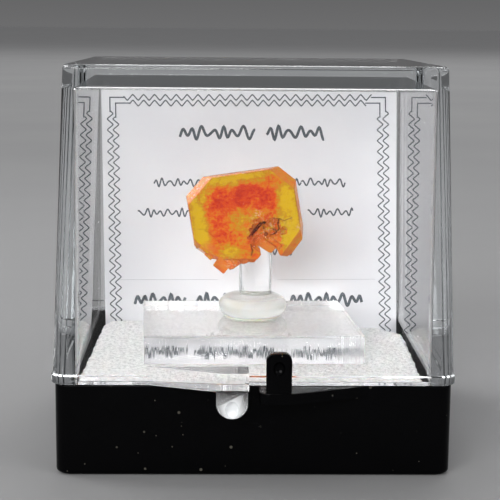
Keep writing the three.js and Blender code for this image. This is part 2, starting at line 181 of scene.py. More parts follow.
def apply_modifiers(thing):
    depsgraph = bpy.context.evaluated_depsgraph_get()
    mesh = bpy.data.meshes.new_from_object(thing.evaluated_get(depsgraph))
    thing.modifiers.clear()
    thing.data = mesh
    return thing


def combine(thing, others, operation="UNION"):
    """Joins others to thing, or cuts them out of it, and removes them."""
    for other in others:
        modifier = thing.modifiers.new("combine", "BOOLEAN")
        modifier.operation = operation
        modifier.solver = "EXACT"
        modifier.object = other
        apply_modifiers(thing)
        bpy.data.objects.remove(other)
    return thing


def ring(half, corner, z):
    """A rectangle with round corners, as points at height z."""
    points = []
    for quarter, (side_x, side_y) in enumerate(((1, 1), (-1, 1), (-1, -1), (1, -1))):
        for step in range(CORNER_STEPS + 1):
            angle = (quarter + step / CORNER_STEPS) * math.pi / 2
            x = side_x * (half - corner) + corner * math.cos(angle)
            y = side_y * (half - DEEPER - corner) + corner * math.sin(angle)
            points.append((x, y, z))
    return points


def loft(name, rings):
    """Joins rings of equal length into one closed body."""
    count = len(rings[0])
    faces = []
    for level in range(len(rings) - 1):
        for i in range(count):
            a = level * count + i
            b = level * count + (i + 1) % count
            faces.append((a, b, b + count, a + count))
    last = (len(rings) - 1) * count
    faces.append(tuple(range(count)))
    faces.append(tuple(range(last, last + count)))
    shape = bmesh.new()
    points = [shape.verts.new(point) for level in rings for point in level]
    for face in faces:
        shape.faces.new([points[i] for i in face])
    return from_bmesh(name, shape)


def filleted(profile):
    """The profile's points with each corner rounded by its fillet: half width, height, corner radius."""
    rounded = [profile[0][:3]]
    for before, point, after in zip(profile, profile[1:], profile[2:]):
        corner = Vector(point[:2])
        back = (Vector(before[:2]) - corner).normalized()
        ahead = (Vector(after[:2]) - corner).normalized()
        half_angle = back.angle(ahead) / 2
        start = corner + back * point[3] / math.tan(half_angle)
        end = corner + ahead * point[3] / math.tan(half_angle)
        middle = corner + (back + ahead).normalized() * point[3] / math.sin(half_angle)
        for step in range(FILLET_STEPS + 1):
            arm = (start - middle).slerp(end - middle, step / FILLET_STEPS)
            spot = middle + arm.normalized() * point[3]
            rounded.append((spot.x, spot.y, point[2]))
    return [*rounded, profile[-1][:3]]


def shell(name, profile):
    return loft(name, [ring(half, corner, z) for half, z, corner in filleted(profile)])


AXES = {
    "x": Matrix(((0, 0, 1), (1, 0, 0), (0, 1, 0))),  # outline in Y and Z, pushed along X
    "y": Matrix(((1, 0, 0), (0, 0, 1), (0, 1, 0))),  # outline in X and Z, pushed along Y
    "z": Matrix.Identity(3),  # outline in X and Y, pushed along Z
}


def prism(name, outline, start, end, axis, bevel=0.0, bevel_steps=2):
    """An outline pushed along an axis, with its long edges rounded."""
    shape = bmesh.new()
    points = [shape.verts.new(AXES[axis] @ Vector((*point, start))) for point in outline]
    face = shape.faces.new(points)
    pushed = bmesh.ops.extrude_face_region(shape, geom=[face])["geom"]
    top = [item for item in pushed if isinstance(item, bmesh.types.BMVert)]
    along = AXES[axis] @ Vector((0, 0, end - start))
    bmesh.ops.translate(shape, verts=top, vec=along)
    if bevel:
        bmesh.ops.bevel(
            shape, geom=shape.edges[:], offset=bevel, segments=bevel_steps,
            affect="EDGES", profile=0.5, clamp_overlap=True,
        )
    return from_bmesh(name, shape)


def bar(name, radius, start, end, sides=40, bevel=0.1):
    """A round bar along X on the hinge's axis."""
    outline = [
        (HINGE["y"] + radius * math.cos(turn), PARTING + radius * math.sin(turn))
        for turn in (2 * math.pi * i / sides for i in range(sides))
    ]
    thing = prism(name, outline, start, end, "x")
    return rounded_ends(thing, bevel) if bevel else thing


def rounded_ends(thing, bevel):
    """Rounds the edges that turn sharply."""
    modifier = thing.modifiers.new("ends", "BEVEL")
    modifier.width = bevel
    modifier.segments = 2
    modifier.limit_method = "ANGLE"
    modifier.angle_limit = math.radians(40)
    return apply_modifiers(thing)


def ellipsoid(name, middle, radii, steps=32):
    shape = bmesh.new()
    bmesh.ops.create_uvsphere(shape, u_segments=steps, v_segments=steps // 2, radius=1)
    bmesh.ops.scale(shape, verts=shape.verts, vec=radii)
    bmesh.ops.translate(shape, verts=shape.verts, vec=middle)
    return from_bmesh(name, shape)


def lathe(name, profile, middle, sides=96, wobble=None):
    """Turns a profile of radius and height about a vertical line. It starts and ends on that line."""
    shape = bmesh.new()
    rows = []
    for radius, z in profile:
        if radius == 0:
            rows.append([shape.verts.new((*middle, z))])
            continue
        row = []
        for i in range(sides):
            turn = 2 * math.pi * i / sides
            reach = radius + (wobble(turn, z) if wobble else 0)
            x = middle[0] + reach * math.cos(turn)
            y = middle[1] + reach * math.sin(turn)
            row.append(shape.verts.new((x, y, z)))
        rows.append(row)
    for low, high in zip(rows, rows[1:]):
        for i in range(sides):
            j = (i + 1) % sides
            if len(low) == 1:
                shape.faces.new((low[0], high[j], high[i]))
            elif len(high) == 1:
                shape.faces.new((low[i], low[j], high[0]))
            else:
                shape.faces.new((low[i], low[j], high[j], high[i]))
    return from_bmesh(name, shape)


def smooth_curve(points, steps=6):
    """A smooth line through the points (Catmull-Rom)."""
    padded = [points[0], *points, points[-1]]
    line = []
    for a, b, c, d in zip(padded, padded[1:], padded[2:], padded[3:]):
        for step in range(steps):
            t = step / steps
            line.append(tuple(
                0.5 * (2 * q + (r - p) * t + (2 * p - 5 * q + 4 * r - s) * t * t
                       + (3 * q - p - 3 * r + s) * t ** 3)
                for p, q, r, s in zip(a, b, c, d)
            ))
    return [*line, tuple(points[-1])]


def finished(thing, body, material, nodes=(), sharp=30):
    """Turns a piece into metres, gives it its finish and puts it on its body, in place of its solids."""
    thing.data.transform(Matrix.Scale(MM, 4))
    thing.data.shade_smooth()
    if sharp:
        thing.data.set_sharp_from_angle(angle=math.radians(sharp))
    thing.data.materials.clear()
    thing.data.materials.append(material)
    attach(thing, body)
    if nodes:
        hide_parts(*nodes)


def level_normals(thing):
    """Keeps flat walls flat in the shading beside their rounded edges."""
    modifier = thing.modifiers.new("level normals", "WEIGHTED_NORMAL")
    modifier.keep_sharp = True
    modifier.weight = 100


# ---- Materials ----

class Finish:
    """One procedural material. Its coordinates are millimetres in the object's own frame."""

    def __init__(self, name, color, **sockets):
        self.material = bpy.data.materials.new(name)
        self.material.use_nodes = True
        self.tree = self.material.node_tree
        self.shader = self.tree.nodes["Principled BSDF"]
        self.shader.inputs["Base Color"].default_value = (*color, 1)
        for socket, value in sockets.items():
            self.shader.inputs[socket.replace("_", " ")].default_value = value
        place = self.tree.nodes.new("ShaderNodeTexCoord")
        self.place = self.add("ShaderNodeMapping", Vector=place.outputs["Object"], Scale=[1 / MM] * 3)

    def add(self, kind, settings=None, **inputs):
        """A node. Inputs are values, or outputs of other nodes. Returns its first output."""
        node = self.tree.nodes.new(kind)
        for name, value in (settings or {}).items():
            setattr(node, name, value)
        for name, value in inputs.items():
            self.set(node.inputs[int(name[1:]) if name[0] == "_" else name.replace("_", " ")], value)
        return node.outputs[0]

    def set(self, socket, value):
        if isinstance(value, bpy.types.NodeSocket):
            self.tree.links.new(value, socket)
        else:
            socket.default_value = value

    def to_shader(self, **inputs):
        for name, value in inputs.items():
            self.set(self.shader.inputs[name.replace("_", " ")], value)

    def attribute(self, name):
        """A value kept on the mesh's points."""
        return self.add("ShaderNodeAttribute", {"attribute_name": name}).node.outputs["Fac"]

    def stretched(self, x, y, z):
        return self.add("ShaderNodeMapping", Vector=self.place, Scale=(x, y, z))

    def noise(self, scale, detail=4.0, roughness=0.55, place=None, distortion=0.0):
        return self.add(
            "ShaderNodeTexNoise", Vector=place or self.place, Scale=scale, Detail=detail,
            Roughness=roughness, Distortion=distortion,
        )

    def math(self, operation, a, b=0.0, c=0.0):
        return self.add("ShaderNodeMath", {"operation": operation}, _0=a, _1=b, _2=c)

    def between(self, value, low, high, to_low=0.0, to_high=1.0, steep="SMOOTHSTEP"):
        return self.add(
            "ShaderNodeMapRange", {"interpolation_type": steep}, Value=value,
            From_Min=low, From_Max=high, To_Min=to_low, To_Max=to_high,
        )

    def ramp(self, value, *stops):
        """Colours along a value, as pairs of place and colour."""
        output = self.add("ShaderNodeValToRGB", Fac=value)
        colors = output.node.color_ramp.elements
        while len(colors) < len(stops):
            colors.new(0.5)
        for element, (spot, color) in zip(colors, stops):
            element.position = spot
            element.color = (*color, 1)
        return output

    def mix(self, share, a, b):
        node = self.tree.nodes.new("ShaderNodeMix")
        node.data_type = "RGBA"
        for socket, value in zip((node.inputs[0], node.inputs[6], node.inputs[7]), (share, a, b)):
            self.set(socket, (*value, 1) if isinstance(value, tuple) and len(value) == 3 else value)
        return node.outputs[2]

    def bump(self, height, distance, strength=1.0):
        """Fine relief, with its depth in millimetres."""
        made_bump = self.add("ShaderNodeBump", Height=height, Distance=distance * MM, Strength=strength)
        self.to_shader(Normal=made_bump)

    def absorb(self, color, density):
        output = self.tree.nodes["Material Output"]
        soak = self.add("ShaderNodeVolumeAbsorption", Color=(*color, 1), Density=density)
        self.tree.links.new(soak, output.inputs["Volume"])

    def specks(self, scale, size, keep=0.5):
        """Scattered small dots: 1 in a dot, 0 outside it. keep is the share of cells with a dot."""
        cells = self.tree.nodes.new("ShaderNodeTexVoronoi")
        self.set(cells.inputs["Vector"], self.place)
        cells.inputs["Scale"].default_value = scale
        near = self.between(cells.outputs["Distance"], size, size * 0.6)
        chance = self.add("ShaderNodeSeparateColor", Color=cells.outputs["Color"])
        chosen = self.between(chance, 1 - keep, 1 - keep + 0.02)
        return self.math("MULTIPLY", near, chosen)


def black_plastic():
    finish = Finish("black_plastic_finish", (0.003, 0.003, 0.0034), IOR=1.46, Specular_IOR_Level=0.12)
    dust = finish.math("MAXIMUM", finish.specks(0.5, 0.09, keep=0.6), finish.specks(1.2, 0.1, keep=0.25))
    film = finish.noise(0.35, 5.0, 0.6)
    color = finish.mix(dust, (0.002, 0.002, 0.0024), (0.09, 0.085, 0.07))
    scratches = finish.noise(0.5, 6.0, 0.7, place=finish.stretched(6.0, 1.0, 0.5), distortion=1.5)
    rough = finish.between(film, 0.35, 0.7, 0.12, 0.26)
    rough = finish.math("ADD", rough, finish.between(scratches, 0.62, 0.75, 0.0, 0.12))
    rough = finish.math("ADD", rough, finish.math("MULTIPLY", dust, 0.4))
    finish.to_shader(Base_Color=color, Roughness=rough)
    finish.bump(finish.noise(0.12, 2.0), 0.02, 0.5)
    return finish.material


def clear_plastic():
    """Clear, with a hazy thumb tab; its scoop is made milky white, a painted highlight."""
    finish = Finish("clear_plastic_finish", (1.0, 1.0, 1.0), IOR=1.48)
    film = finish.noise(0.25, 5.0, 0.65)
    dust = finish.specks(0.9, 0.045, keep=0.25)
    rough = finish.between(film, 0.45, 0.75, 0.004, 0.05)
    rough = finish.math("ADD", rough, finish.math("MULTIPLY", dust, 0.5))
    # The haze turns the plastic milky; in the scoop it is a painted highlight.
    haze_and_highlight = finish.attribute("haze_and_highlight")
    finish.to_shader(
        Roughness=rough,
        Base_Color=finish.mix(haze_and_highlight, (1.0, 1.0, 1.0), (0.93, 0.95, 0.96)),
        Transmission_Weight=finish.between(haze_and_highlight, 0.0, 1.0, 1.0, 0.15, "LINEAR"),
    )
    finish.absorb((0.86, 0.92, 0.95), 12.0)
    return finish.material


def clear_acrylic():
    finish = Finish("clear_acrylic_finish", (1.0, 1.0, 1.0), IOR=1.49, Transmission_Weight=1.0)
    rough = finish.between(finish.noise(0.8, 4.0), 0.4, 0.75, 0.01, 0.08)
    finish.to_shader(Roughness=rough)
    finish.absorb((0.9, 0.93, 0.92), 10.0)
    return finish.material


def post_acrylic():
    """Clear in the rod, milky with cream clouds in the melted foot."""
    finish = Finish("post_acrylic_finish", (0.93, 0.93, 0.91), IOR=1.49, Roughness=0.02)
    height = finish.add("ShaderNodeSeparateXYZ", Vector=finish.place).node.outputs["Z"]
    milky = finish.between(height, FOOT_HIGH.z + 0.1, FOOT_HIGH.z - 0.5)
    cream = finish.between(finish.noise(0.7, 4.0, 0.6), 0.45, 0.7)
    tint = finish.mix(cream, (0.96, 0.98, 0.97), (0.97, 0.96, 0.86))
    finish.to_shader(
        Base_Color=finish.mix(milky, (1.0, 1.0, 1.0), tint),
        Transmission_Weight=finish.between(milky, 0.0, 1.0, 1.0, 0.62, "LINEAR"),
    )
    return finish.material


def white_foam():
    finish = Finish(
        "white_foam_finish", (0.84, 0.84, 0.83), Roughness=0.8, IOR=1.4,
        Subsurface_Weight=0.1, Subsurface_Scale=0.0003,
    )
    cells = finish.noise(2.4, 4.0, 0.7)
    tint = finish.ramp(cells, (0.36, (0.66, 0.66, 0.655)), (0.55, (0.94, 0.94, 0.93)))
    finish.to_shader(Base_Color=tint)
    finish.bump(finish.noise(4.0, 3.0, 0.6), 0.2)
    return finish.material


def white_card():
    finish = Finish("white_card_finish", (0.8, 0.81, 0.84), Roughness=0.75, IOR=1.45)
    clouds = finish.noise(0.12, 3.0)
    tint = finish.ramp(clouds, (0.3, (0.76, 0.765, 0.795)), (0.7, (0.81, 0.815, 0.835)))
    finish.to_shader(Base_Color=tint)
    finish.bump(finish.noise(12.0, 3.0, 0.7), 0.01, 0.4)
    return finish.material


def label_ink():
    finish = Finish("label_ink_finish", (0.08, 0.1, 0.12), Roughness=0.6, IOR=1.45)
    patches = finish.noise(4.0, 3.0, 0.6)
    tint = finish.ramp(patches, (0.3, (0.075, 0.09, 0.105)), (0.7, (0.15, 0.17, 0.19)))
    finish.to_shader(Base_Color=tint)
    return finish.material


def cream_glue():
    finish = Finish(
        "cream_glue_finish", (0.83, 0.77, 0.58), Roughness=0.4, IOR=1.5,
        Subsurface_Weight=0.4, Subsurface_Scale=0.0008,
    )
    cloud = finish.noise(1.6, 4.0, 0.6)
    tint = finish.ramp(cloud, (0.3, (0.86, 0.82, 0.66)), (0.7, (0.95, 0.94, 0.88)))
    finish.to_shader(Base_Color=tint)
    finish.bump(finish.noise(2.5, 3.0), 0.1, 0.5)
    return finish.material


def orange_crystal():
    finish = Finish(
        "orange_crystal_finish", (0.9, 0.3, 0.0), IOR=1.6, Transmission_Weight=0.45, Specular_IOR_Level=0.15,
    )
    zone = finish.attribute("zone")
    clouds = finish.noise(0.5, 5.0, 0.62, distortion=1.2)
    mottle = finish.noise(1.7, 6.0, 0.72, distortion=0.8)
    threads = finish.noise(1.1, 4.0, 0.6, place=finish.stretched(0.5, 1.0, 2.2), distortion=2.0)
    for cloud, amount in ((clouds, 1.0), (mottle, 1.7), (threads, 0.7)):
        zone = finish.math("MULTIPLY_ADD", finish.math("SUBTRACT", cloud, 0.5), amount, zone)
    tint = finish.ramp(
        zone,
        (0.0, (0.92, 0.66, 0.0)),
        (0.2, (0.72, 0.44, 0.0)),
        (0.38, (0.9, 0.35, 0.0)),
        (0.58, (0.95, 0.18, 0.0)),
        (0.8, (0.86, 0.075, 0.0)),
        (1.0, (0.66, 0.035, 0.0)),
    )
    # Paler where the mesh says: the salmon faces, and painted sheen and highlights on the bevels and edges.
    tint = finish.mix(finish.attribute("pale"), tint, (0.92, 0.3, 0.045))
    grit = finish.between(finish.noise(4.2, 3.0, 0.7), 0.54, 0.6)
    glint = finish.math("MULTIPLY", finish.attribute("glints"), grit)
    glint = finish.math("MAXIMUM", glint, finish.specks(1.5, 0.06, keep=0.4))
    tint = finish.mix(finish.math("MULTIPLY", glint, 0.8), tint, (0.98, 0.72, 0.5))
    # Dark brown in the cracks, and painted shade in the crumbly crevices.
    tint = finish.mix(finish.attribute("dark"), tint, (0.09, 0.016, 0.001))
    rough = finish.between(mottle, 0.35, 0.7, 0.08, 0.25)
    finish.to_shader(Base_Color=tint, Roughness=rough)
    finish.absorb((1.0, 0.7, 0.2), 200.0)
    finish.bump(finish.noise(5.0, 4.0, 0.6), 0.015, 0.3)
    return finish.material


def floor_paper():
    finish = Finish("floor_paper", (0.3, 0.3, 0.3), Roughness=0.9)
    clouds = finish.noise(0.01, 3.0)
    tint = finish.ramp(clouds, (0.3, (0.29, 0.29, 0.293)), (0.7, (0.31, 0.31, 0.31)))
    finish.to_shader(Base_Color=tint)
    return finish.material


# ---- Base and lid ----

def tab_outline(left, right, foot, head, rounding, steps=8):
    """A tab in X and Z, with round corners at its head."""
    up = 1 if head > foot else -1
    points = [(left, foot), (right, foot)]
    for side, middle in ((0, right - rounding), (1, left + rounding)):
        for step in range(steps + 1):
            angle = (side + step / steps) * math.pi / 2
            points.append((middle + rounding * math.cos(angle),
                           head - up * rounding + up * rounding * math.sin(angle)))
    return points


def mirrored(thing):
    """A copy on the other side of the middle."""
    twin = thing.copy()
    twin.data = thing.data.copy()
    twin.data.transform(Matrix.Scale(-1, 4, (1, 0, 0)))
    twin.data.flip_normals()
    bpy.context.scene.collection.objects.link(twin)
    return twin


def base_ledge():
    """The wedge that carries the base's thumb tab."""
    wall = FRONT_WALL["base"]
    left, right, nose, nose_steps, thick = 0.47, 10.8, 0.9, 6, 1.1
    outline = [(right, wall + 0.6), (left, wall + 0.6)]
    for step in range(nose_steps + 1):
        angle = step / nose_steps * math.pi / 2
        outline.append((left + nose * (1 - math.cos(angle)), -REACH + nose * (1 - math.sin(angle))))
    outline += [(BASE_TAB["right"], -REACH), (right, wall - 0.02)]
    return prism("base_ledge", outline, PARTING - thick, PARTING, "z", bevel=0.07)


def thumb_scoop(tab, radii):
    """The hollow in the front of a thumb tab."""
    middle = ((tab["left"] + tab["right"]) / 2, -REACH, tab["tip"] + tab["scoop"])
    return ellipsoid("scoop", middle, radii)


def base_tab():
    front = -REACH + 0.1
    outline = tab_outline(
        BASE_TAB["left"], BASE_TAB["right"], PARTING - 0.5, BASE_TAB["tip"], BASE_TAB["rounding"],
    )
    tab = prism("base_tab", outline, front, front + TAB_THICK, "y", bevel=0.12)
    return combine(tab, [thumb_scoop(BASE_TAB, (0.56, 0.45, 0.68))], "DIFFERENCE")


def base_ear():
    """One of the two ears, with its pin."""
    start, end = HINGE["ear"]
    y, wall = HINGE["y"], 16.81
    meet_y, meet_z = HINGE["meet"]
    outline = [(wall, PARTING - HINGE["web"]), (y + meet_y, PARTING - meet_z), (y, PARTING), (wall, PARTING)]
    web = prism("ear", outline, start, end, "x", bevel=0.06)
    barrel = bar("barrel", HINGE["barrel"], start, end)
    pin = bar("pin", HINGE["pin"], HINGE["pin_end"], start + 0.3, sides=28, bevel=0.08)
    return combine(web, [barrel, pin])


def base_piece():
    base = shell("base", BASE_PROFILE)
    ear = base_ear()
    combine(base, [base_ledge(), base_tab(), mirrored(ear), ear])
    finished(base, "base", black_plastic(), ["base_tray"])
    level_normals(base)


def lid_ledge():
    """The wedge that carries the lid's thumb tab."""
    wall = FRONT_WALL["lid"]
    left, right, nose, thick = -10.1, -0.5, 0.35, 1.9
    outline = [
        (left, wall + 0.4), (left, wall - 0.02), (LID_TAB["left"] + 0.6, -REACH),
        (right - nose, -REACH), (right, -REACH + nose), (right, wall + 0.4),
    ]
    return prism("lid_ledge", outline, LID_BOTTOM, PARTING + thick, "z", bevel=0.07)


def lid_tab():
    outline = tab_outline(
        LID_TAB["left"], LID_TAB["right"], PARTING + 0.9, LID_TAB["tip"], LID_TAB["rounding"], steps=12,
    )
    tab = prism("lid_tab", outline, -REACH, -REACH + TAB_THICK, "y", bevel=0.26, bevel_steps=4)
    return combine(tab, [thumb_scoop(LID_TAB, (0.64, 0.5, 0.8))], "DIFFERENCE")


def lid_lug():
    """One of the two lugs, with its blind bore."""
    start, end = HINGE["lug"]
    y, wall = HINGE["y"], 16.9
    meet_y, meet_z = HINGE["meet"]
    outline = [
        (wall, LID_BOTTOM), (y, LID_BOTTOM), (y + meet_y, PARTING + meet_z), (wall, PARTING + HINGE["web"]),
    ]
    lug = prism("lug", outline, start, end, "x", bevel=0.06)
    combine(lug, [bar("barrel", HINGE["barrel"], start, end)])
    bore = bar("bore", HINGE["bore"], HINGE["bore_end"], end + 0.5, sides=28, bevel=0)
    return combine(lug, [bore], "DIFFERENCE")


def haze_tab_and_highlight_scoop(lid):
    """Marks the thumb tab, below the joint, as hazy, and its scoop as milky white, a painted highlight."""
    haze_and_highlight = lid.data.attributes.new("haze_and_highlight", "FLOAT", "POINT")
    middle_x, middle_z = (LID_TAB["left"] + LID_TAB["right"]) / 2, LID_TAB["tip"] + LID_TAB["scoop"]
    front = 0.01 - REACH + TAB_THICK / 2
    for i, vertex in enumerate(lid.data.vertices):
        x, y, z = vertex.co
        # The scoop is made milky white: a painted highlight.
        in_scoop = y < front and math.hypot(x - middle_x, z - middle_z) < SCOOP_HIGHLIGHT_REACH
        if z < PARTING - 0.1:
            haze_and_highlight.data[i].value = SCOOP_PAINTED_HIGHLIGHT if in_scoop else TAB_HAZE


def lid_piece():
    lid = shell("lid_clear", LID_PROFILE)
    lug = lid_lug()
    combine(lid, [lid_ledge(), lid_tab(), mirrored(lug), lug])
    haze_tab_and_highlight_scoop(lid)
    finished(lid, "lid", clear_plastic(), ["lid"])
    level_normals(lid)


# ---- Foam, label and stand ----

def foam_spot(u, v):
    """A place on the foam's top, at share u across and v back, inside its ragged cut sides."""
    shares, left_cut, right_cut = zip(*FOAM_CUTS)
    ragged = 0.13 * noise.noise(Vector((u * 30, v * 30, 0.5)))
    ragged += 0.08 * noise.noise(Vector((u * 90, v * 75, 2.5)))
    left = FOAM_LOW.x + FOAM_EDGE + np.interp(v, shares, left_cut) + ragged
    right = FOAM_HIGH.x - FOAM_EDGE - np.interp(v, shares, right_cut) + ragged
    y = FOAM_LOW.y + (FOAM_HIGH.y - FOAM_LOW.y) * v
    y += 0.08 * noise.noise(Vector((u * 30, v * 30, 7.5))) * (1 - v)
    return left + (right - left) * u, y


def foam_top(column, row, x, y):
    """Height of the foam's top: grains, a rounded rim and a sag at the back on the right."""
    grain = noise.noise(Vector((x * 2.6, y * 2.6, 3.0)))
    fine = noise.noise(Vector((x * 5.5, y * 5.5, 9.0)))
    from_rim = min(column, row, FOAM_COLUMNS - column) / 4
    rim = 0.2 * max(0, 1 - from_rim) ** 2
    sag = 0.7 * smoothstep(column / FOAM_COLUMNS, 0.45, 0.95) * smoothstep(row / FOAM_ROWS, 0.72, 1.0)
    drop = 0.05 + 0.1 * grain + 0.1 * fine + rim + sag
    return FOAM_HIGH.z - max(0.0, drop)


def foam_side(spot, level):
    """A point on the foam's side, that many levels below a point of the top's rim."""
    x, y, rim = spot
    start = rim - FOAM_EDGE
    z = start - (start - FOAM_LOW.z) * level / FOAM_LEVELS
    roughness, half_width = 0.06, 16
    pull = 1 - roughness * abs(noise.noise(Vector((x, y, z)) * 1.5)) / half_width
    back_slope = math.tan(math.radians(CARD["lean"])) * max(0.0, y) / FOAM_HIGH.y
    return x * pull, y * pull - back_slope * (FOAM_HIGH.z - z), z


def foam_piece():
    """A block with a cut outline; its top is a fine grid of grains."""
    columns, rows = FOAM_COLUMNS, FOAM_ROWS
    width = columns + 1
    vertices = []
    for row in range(rows + 1):
        for column in range(width):
            x, y = foam_spot(column / columns, row / rows)
            vertices.append((x, y, foam_top(column, row, x, y)))
    faces = []
    for row in range(rows):
        for column in range(columns):
            a = row * width + column
            faces.append((a, a + 1, a + width + 1, a + width))
    outline = list(range(columns))
    outline += [row * width + columns for row in range(rows)]
    outline += [rows * width + column for column in range(columns, 0, -1)]
    outline += [row * width for row in range(rows, 0, -1)]
    above = outline
    for level in range(1, FOAM_LEVELS + 1):
        start = len(vertices)
        vertices += [foam_side(vertices[i], level) for i in outline]
        below = list(range(start, start + len(outline)))
        for i in range(len(outline)):
            j = (i + 1) % len(outline)
            faces.append((above[j], above[i], below[i], below[j]))
        above = below
    faces.append(tuple(reversed(above)))
    foam = made("foam", vertices, faces)
    finished(foam, "base", white_foam(), ["foam_insert"], sharp=0)


def leaned(thing):
    """Turns a piece of the card back about the line where the card meets the foam's top."""
    lean = Matrix.Rotation(-math.radians(CARD["lean"]), 4, "X")
    to_line = Matrix.Translation((0, 0, -FOAM_HIGH.z))
    to_place = Matrix.Translation((0, CARD["face"], FOAM_HIGH.z))
    thing.data.transform(to_place @ lean @ to_line)
    return thing


def card_piece():
    card = prism("label", CARD["corners"], 0.0, CARD["thick"], "y", bevel=0.06, bevel_steps=3)
    finished(leaned(card), "base", white_card(), ["label_card"])


LABEL = {
    "middle": -0.2,  # middle of the printed frame across
    "outer": 15.55,  # half width of the outer line
    "gap": 0.64,  # between the frame's two lines
    "top": 33.97,
    "bottom": 3.0,
    "period": 1.225,
    "swing": 0.32,
    "line": 0.13,
    "tilt": 0.007,  # how far the print climbs to the right
    "slant": 0.019,  # how far the frame's sides lean to the left
    "ink": 0.015,
    "elbow": 1.65,  # length of the straight corner pieces
}
# Rows of plain scribbled waves: middle across, height, length, half height, period, line width.
ROWS = [
    (-3.6, 30.0, 8.5, 0.8, 1.15, 0.3), (5.2, 30.0, 6.5, 0.8, 1.15, 0.3),
    (-7.4, 24.4, 6.7, 0.5, 0.8, 0.17), (0.6, 24.4, 6.5, 0.5, 0.8, 0.17), (8.0, 24.4, 5.7, 0.5, 0.8, 0.17),
    (-9.2, 21.0, 6.7, 0.5, 0.8, 0.17), (0.5, 21.0, 9.7, 0.5, 0.8, 0.17), (9.2, 21.0, 5.1, 0.5, 0.8, 0.17),
    (0.1, 16.7, 9.7, 0.5, 0.8, 0.17),
    (-10.0, 11.15, 5.7, 0.75, 0.95, 0.32), (-1.5, 11.15, 8.7, 0.75, 0.95, 0.32),
    (8.8, 11.15, 8.1, 0.75, 0.95, 0.32),
]
# Thin rules: middle across, height, length, line width.
RULES = [(-9.0, 13.45, 11.1, 0.018), (8.8, 13.45, 11.1, 0.018)]
SOFT = 0.96  # how sharp the zigzag's crests are, up to 1
CREST = 1 / math.asin(SOFT)


def stroke(line, width):
    """A line of even width as quads, each point with its left and right edge."""
    edges = []
    for i, point in enumerate(line):
        here = Vector(point)
        before = Vector(line[max(i - 1, 0)])
        after = Vector(line[min(i + 1, len(line) - 1)])
        arrive = (here - before).normalized() if i else (after - here).normalized()
        leave = (after - here).normalized() if i < len(line) - 1 else arrive
        across = Vector((-arrive.y - leave.y, arrive.x + leave.x)).normalized()
        stretch = 1 / max(0.5, across.dot(Vector((-arrive.y, arrive.x))))
        edges.append((here + across * width / 2 * stretch, here - across * width / 2 * stretch))
    return edges


def wave(start, end, swing, period, steps=12):
    """A zigzag with softened crests between two points, with turns in step on parallel lines."""
    start, end = Vector(start), Vector(end)
    along = (end - start).normalized()
    count = round((end - start).length / period * steps)
    line = []
    for i in range(count + 1):
        point = start + (end - start) * i / count
        swung = math.sin(2 * math.pi * point.dot(along) / period)
        height = CREST * math.asin(SOFT * swung)
        line.append(point + Vector((along.y, along.x)) * swing * height)
    return line


def scribble(x, z, length, swing, period, steps=14):
    """A row of plain loops whose height and pace wander."""
    count = round(length / period * steps)
    line = []
    for i in range(count + 1):
        turn = 2 * math.pi * length * i / count / period
        pace = turn + 0.9 * math.sin(turn / 3.7 + z)
        height = 0.62 + 0.3 * math.sin(turn / 2.3 + x) + 0.08 * math.sin(turn / 5.1)
        line.append((x - length / 2 + length * i / count, z + swing * height * math.sin(pace)))
    return line


def frame_lines():
    """The two zigzag lines on each side of the label, with straight double elbows at the corners."""
    lines = []
    for order in range(2):
        half = LABEL["outer"] - order * LABEL["gap"]
        left, right = LABEL["middle"] - half, LABEL["middle"] + half
        top, bottom = LABEL["top"] - order * LABEL["gap"], LABEL["bottom"] + order * LABEL["gap"]
        for corner_x, corner_z, side_x, side_z in (
            (left, top, 1, -1), (right, top, -1, -1), (left, bottom, 1, 1), (right, bottom, -1, 1),
        ):
            lines.append([
                (corner_x + side_x * LABEL["elbow"], corner_z),
                (corner_x, corner_z),
                (corner_x, corner_z + side_z * LABEL["elbow"]),
            ])
        reach = LABEL["elbow"] - 0.1
        for start, end in (
            ((left + reach, top), (right - reach, top)),
            ((left + reach, bottom), (right - reach, bottom)),
            ((left, bottom + reach), (left, top - reach)),
            ((right, bottom + reach), (right, top - reach)),
        ):
            lines.append(wave(start, end, LABEL["swing"], LABEL["period"]))
    return lines


def print_piece():
    """The printed frame, scribbles and rules, as thin layers on the card's face."""
    strokes = []
    for line in frame_lines():
        slanted = [(x + LABEL["slant"] * (LABEL["top"] - z), z) for x, z in line]
        strokes.append(stroke(slanted, LABEL["line"]))
    for x, z, length, swing, period, width in ROWS:
        strokes.append(stroke(scribble(x, z, length, swing, period), width))
    for x, z, length, width in RULES:
        strokes.append(stroke([(x - length / 2, z), (x + length / 2, z)], width))
    vertices, faces = [], []
    for edges in strokes:
        start = len(vertices)
        for left, right in edges:
            for x, z in (left, right):
                z += LABEL["tilt"] * x
                vertices += [(x, LABEL["ink"], z), (x, -LABEL["ink"], z)]
        for i in range(len(edges) - 1):
            a, b = start + 4 * i, start + 4 * (i + 1)
            for near, far in ((0, 1), (1, 3), (3, 2), (2, 0)):
                faces.append((a + near, a + far, b + far, b + near))
        faces.append((start, start + 2, start + 3, start + 1))
        end = start + 4 * (len(edges) - 1)
        faces.append((end, end + 1, end + 3, end + 2))
    printed = leaned(made("label_print", vertices, faces))
    finished(printed, "base", label_ink())


def plate_piece():
    """A sawn acrylic plate: its cut edges carry fine upright saw marks."""
    spacing, mark, marks_per_mm = 0.05, 0.022, 13
    outline = []
    for i, corner in enumerate(PLATE_CORNERS):
        start, end = Vector(corner), Vector(PLATE_CORNERS[(i + 1) % len(PLATE_CORNERS)])
        count = max(1, round((end - start).length / spacing))
        inward = Vector((-(end - start).y, (end - start).x)).normalized()
        for step in range(count):
            point = start + (end - start) * step / count
            if step:
                point += inward * mark * abs(noise.noise(Vector((*point * marks_per_mm, i))))
            outline.append(point)
    plate = prism("stand_plate_clear", outline, PLATE_LOW.z + 0.02, PLATE_HIGH.z, "z")
    finished(plate, "base", clear_acrylic(), ["stand_plate"], sharp=20)


